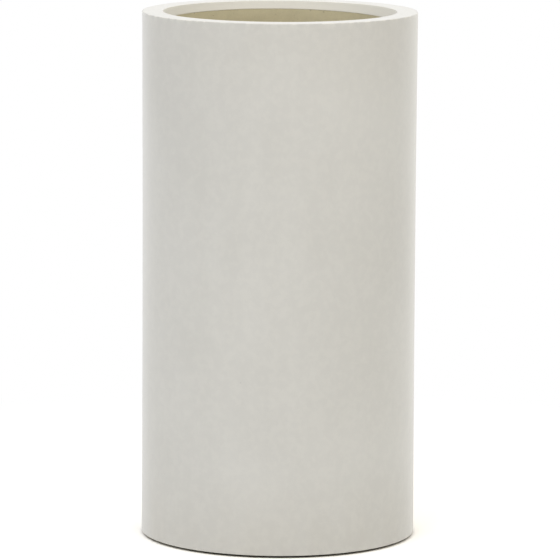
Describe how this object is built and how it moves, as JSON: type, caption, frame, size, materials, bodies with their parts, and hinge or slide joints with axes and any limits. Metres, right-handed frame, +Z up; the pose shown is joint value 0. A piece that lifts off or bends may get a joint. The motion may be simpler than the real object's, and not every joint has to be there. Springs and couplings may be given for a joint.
{
  "type": "floor planter",
  "caption": "Tall round floor planter: a white-coated concrete cylinder with a wide flat rim, a bare tan inside and a plugged drain hole, standing on thin rubber pads.",
  "frame": {"origin": "on the ground under the middle of the planter, in the plane of the foot pads' lower faces", "axes": "+Z up along the planter's axis, -Y towards the viewer of the picture, +X to the viewer's right"},
  "size_m": [0.365, 0.3648, 0.7],
  "materials": {
    "white_face_coat": "matt, fine cement grain",
    "bare_concrete": "bare, as cast",
    "grey_plastic": "moulded",
    "black_rubber": "moulded, matt"
  },
  "bodies": {
    "planter": {"face_coat": "white_face_coat", "planter_body": "bare_concrete", "drain_sleeve": "grey_plastic", "foot_pad_back_right": "black_rubber", "foot_pad_back_left": "black_rubber", "foot_pad_front_left": "black_rubber", "foot_pad_front_right": "black_rubber"},
    "drain_plug": {"drain_plug": "black_rubber"}
  },
  "joints": [
    {"name": "drain_plug_lift", "type": "slide", "parent": "planter", "child": "drain_plug", "axis": [0, 0, 1], "range_m": [0, 0.72]}
  ]
}
